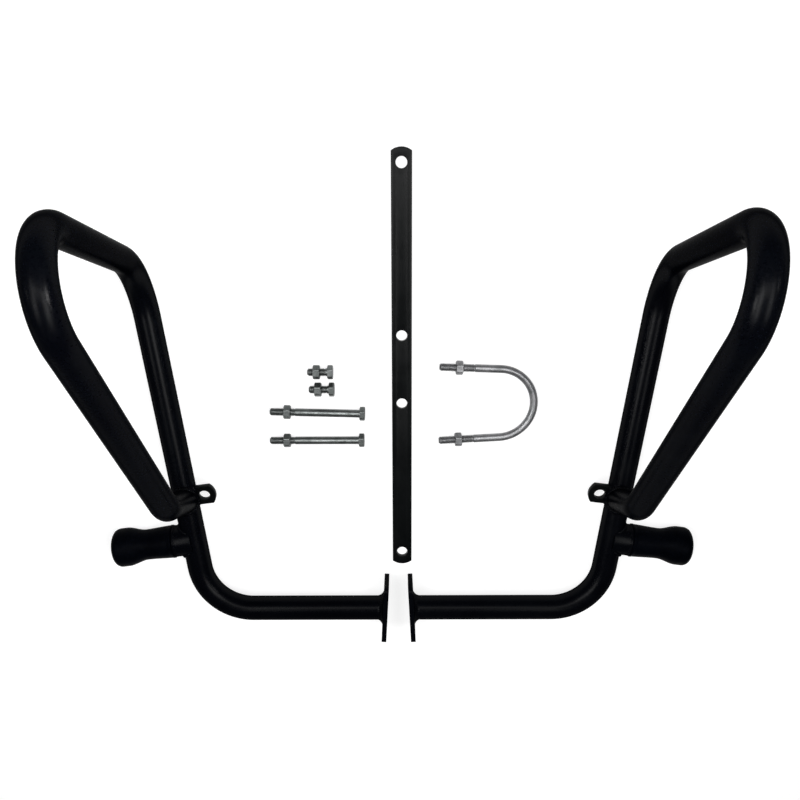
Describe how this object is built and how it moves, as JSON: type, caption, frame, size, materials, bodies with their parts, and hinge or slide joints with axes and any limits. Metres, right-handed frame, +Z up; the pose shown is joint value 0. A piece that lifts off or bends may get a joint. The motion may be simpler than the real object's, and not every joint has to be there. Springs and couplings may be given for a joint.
{
  "type": "motorcycle crash bars",
  "caption": "Mirrored bent-tube motorcycle crash bars with welded flanges and rubber foot pegs, laid out with the flat strap, U-bolt, bolts and nuts that fix them.",
  "frame": {"origin": "middle of the strap, on the floor that the kit lies on", "axes": "+X to the right bar, +Y from the flanges towards the noses of the bars, +Z up from the floor"},
  "size_m": [0.6028, 0.5036, 0.2818],
  "materials": {
    "black_paint": "gloss black paint",
    "peg_rubber": "smooth moulded black rubber",
    "zinc_plate": "zinc plated, dull"
  },
  "bodies": {
    "root": {"left_tube": "black_paint", "left_flange": "black_paint", "left_tab": "black_paint", "left_peg_stub": "black_paint", "left_peg_rubber": "peg_rubber", "right_tube": "black_paint", "right_flange": "black_paint", "right_tab": "black_paint", "right_peg_stub": "black_paint", "right_peg_rubber": "peg_rubber", "centre_strap": "black_paint", "u_bolt": "zinc_plate", "u_bolt_upper_nut": "zinc_plate", "u_bolt_lower_nut": "zinc_plate", "upper_long_bolt": "zinc_plate", "upper_long_nut": "zinc_plate", "lower_long_bolt": "zinc_plate", "lower_long_nut": "zinc_plate", "upper_short_bolt": "zinc_plate", "upper_short_nut": "zinc_plate", "lower_short_bolt": "zinc_plate", "lower_short_nut": "zinc_plate"}
  },
  "joints": []
}
